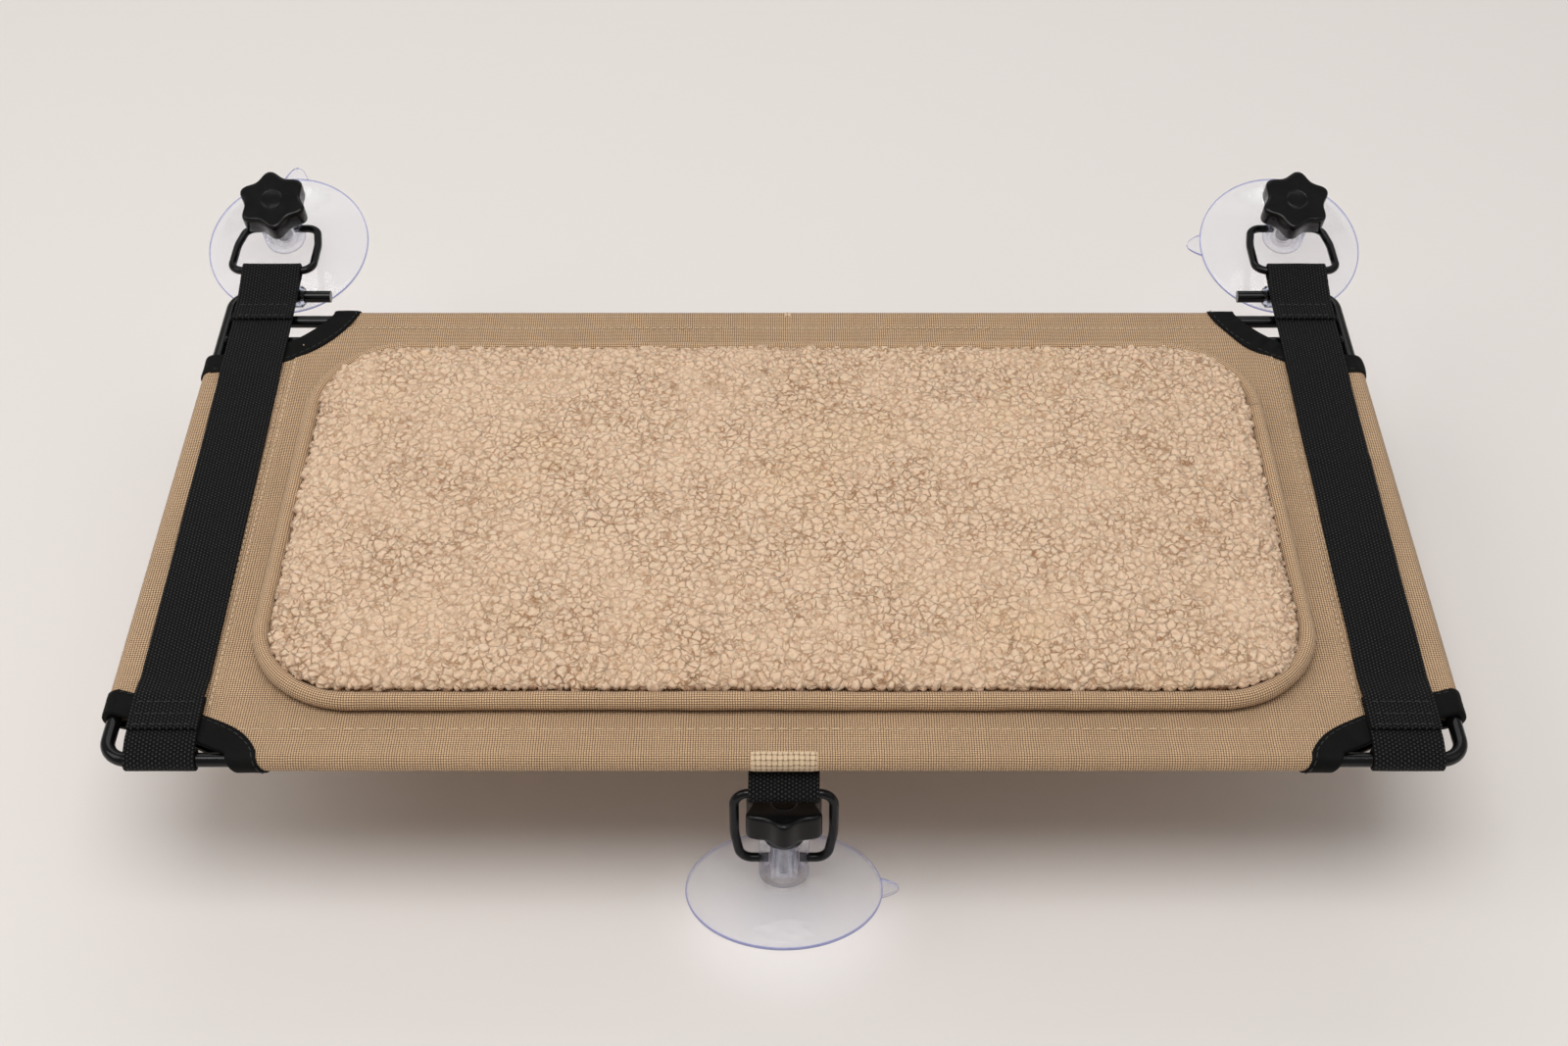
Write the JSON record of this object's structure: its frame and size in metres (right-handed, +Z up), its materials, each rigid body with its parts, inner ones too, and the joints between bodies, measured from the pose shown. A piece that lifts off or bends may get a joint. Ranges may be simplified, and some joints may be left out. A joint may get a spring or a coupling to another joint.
{
  "type": "window mounted cat perch",
  "caption": "Window cat perch: canvas deck on a bent rod frame, fleece mat, webbing straps with wire rings and screw knob suction cups.",
  "frame": {"origin": "mid-width on the axis of the frame's two free rod ends, at the window side", "axes": "+X to the right along the deck's width, +Y towards the window, +Z up"},
  "size_m": [0.601, 0.4532, 0.1163],
  "materials": {
    "rod_black": "gloss black powder coat",
    "ring_wire": "satin black coat",
    "canvas": "plain weave beige canvas",
    "binding_tape": "matte black binding tape",
    "webbing": "black woven webbing",
    "fleece": "curled sherpa fleece",
    "foam": "soft pad",
    "clear_vinyl": "clear soft vinyl, faint blue violet",
    "knob_plastic": "satin black moulding",
    "stud_steel": "blackened steel"
  },
  "bodies": {
    "frame": {"frame_rod": "rod_black", "rear_bar": "rod_black", "under_bar": "rod_black", "weld_beads": "rod_black", "glass_bumper_left": "clear_vinyl", "glass_bumper_right": "clear_vinyl", "deck_canvas": "canvas", "corner_tape_front_left": "binding_tape", "corner_tape_front_right": "binding_tape", "corner_tape_rear_left": "binding_tape", "corner_tape_rear_right": "binding_tape"},
    "mat": {"mat_base": "canvas", "mat_core": "foam", "mat_fleece": "fleece", "mat_piping": "canvas"},
    "strap_left": {"strap_left": "webbing", "bar_loop_left": "webbing"},
    "strap_right": {"strap_right": "webbing", "bar_loop_right": "webbing"},
    "strap_front": {"strap_front": "webbing"},
    "ring_left": {"ring_left": "ring_wire"},
    "hub_left": {"hub_left": "clear_vinyl"},
    "cup_left": {"cup_left": "clear_vinyl"},
    "collar_left": {"collar_left": "knob_plastic"},
    "knob_left": {"knob_left": "knob_plastic", "stud_left": "stud_steel"},
    "ring_right": {"ring_right": "ring_wire"},
    "hub_right": {"hub_right": "clear_vinyl"},
    "cup_right": {"cup_right": "clear_vinyl"},
    "collar_right": {"collar_right": "knob_plastic"},
    "knob_right": {"knob_right": "knob_plastic", "stud_right": "stud_steel"},
    "ring_front": {"ring_front": "ring_wire"},
    "hub_front": {"hub_front": "clear_vinyl"},
    "cup_front": {"cup_front": "clear_vinyl"},
    "collar_front": {"collar_front": "knob_plastic"},
    "knob_front": {"knob_front": "knob_plastic", "stud_front": "stud_steel"}
  },
  "joints": [
    {"name": "mat_lift", "type": "slide", "parent": "frame", "child": "mat", "axis": [0, 0, 1], "range_m": [0, 0.06]},
    {"name": "strap_left_lift", "type": "hinge", "parent": "frame", "child": "strap_left", "pos_m": [-0.2535, -0.3, 0], "axis": [1, 0, 0], "range_deg": [0, 35]},
    {"name": "ring_left_swing", "type": "hinge", "parent": "strap_left", "child": "ring_left", "pos_m": [-0.259, 0.0085, 0.01], "axis": [1, 0, 0], "range_deg": [-15, 80]},
    {"name": "hub_left_tilt", "type": "hinge", "parent": "ring_left", "child": "hub_left", "pos_m": [-0.259, 0.0435, 0.01], "axis": [1, 0, 0], "range_deg": [-12, 29]},
    {"name": "cup_left_swivel", "type": "hinge", "parent": "hub_left", "child": "cup_left", "pos_m": [-0.259, 0.0435, 0.01], "axis": [0, -0.342, 0.9397], "continuous": true},
    {"name": "collar_left_travel", "type": "slide", "parent": "cup_left", "child": "collar_left", "axis": [0, -0.342, 0.9397], "range_m": [0, 0.00187]},
    {"name": "knob_left_turn", "type": "hinge", "parent": "collar_left", "child": "knob_left", "pos_m": [-0.259, 0.0435, 0.01], "axis": [0, -0.342, 0.9397], "range_deg": [0, 540]},
    {"name": "strap_right_lift", "type": "hinge", "parent": "frame", "child": "strap_right", "pos_m": [0.2535, -0.3, 0], "axis": [1, 0, 0], "range_deg": [0, 35]},
    {"name": "ring_right_swing", "type": "hinge", "parent": "strap_right", "child": "ring_right", "pos_m": [0.259, 0.0085, 0.01], "axis": [1, 0, 0], "range_deg": [-15, 80]},
    {"name": "hub_right_tilt", "type": "hinge", "parent": "ring_right", "child": "hub_right", "pos_m": [0.259, 0.0435, 0.01], "axis": [1, 0, 0], "range_deg": [-12, 29]},
    {"name": "cup_right_swivel", "type": "hinge", "parent": "hub_right", "child": "cup_right", "pos_m": [0.259, 0.0435, 0.01], "axis": [0, -0.342, 0.9397], "continuous": true},
    {"name": "collar_right_travel", "type": "slide", "parent": "cup_right", "child": "collar_right", "axis": [0, -0.342, 0.9397], "range_m": [0, 0.00187]},
    {"name": "knob_right_turn", "type": "hinge", "parent": "collar_right", "child": "knob_right", "pos_m": [0.259, 0.0435, 0.01], "axis": [0, -0.342, 0.9397], "range_deg": [0, 540]},
    {"name": "strap_front_swing", "type": "hinge", "parent": "frame", "child": "strap_front", "pos_m": [0, -0.29789, -0.00513], "axis": [1, 0, 0], "range_deg": [0, 50]},
    {"name": "ring_front_swing", "type": "hinge", "parent": "strap_front", "child": "ring_front", "pos_m": [0, -0.30752, -0.01239], "axis": [1, 0, 0], "range_deg": [-15, 20]},
    {"name": "hub_front_tilt", "type": "hinge", "parent": "ring_front", "child": "hub_front", "pos_m": [0, -0.3139, -0.0468], "axis": [1, 0, 0], "range_deg": [-5, 20]},
    {"name": "cup_front_swivel", "type": "hinge", "parent": "hub_front", "child": "cup_front", "pos_m": [0, -0.3139, -0.0468], "axis": [0, 0.309, 0.9511], "continuous": true},
    {"name": "collar_front_travel", "type": "slide", "parent": "cup_front", "child": "collar_front", "axis": [0, 0.309, 0.9511], "range_m": [0, 0.00187]},
    {"name": "knob_front_turn", "type": "hinge", "parent": "collar_front", "child": "knob_front", "pos_m": [0, -0.3139, -0.0468], "axis": [0, 0.309, 0.9511], "range_deg": [0, 540]}
  ],
  "couplings": [
    {"joint": "knob_left_turn", "follows": "collar_left_travel", "rad_per_m": 5026.5},
    {"joint": "knob_right_turn", "follows": "collar_right_travel", "rad_per_m": 5026.5},
    {"joint": "knob_front_turn", "follows": "collar_front_travel", "rad_per_m": 5026.5}
  ]
}
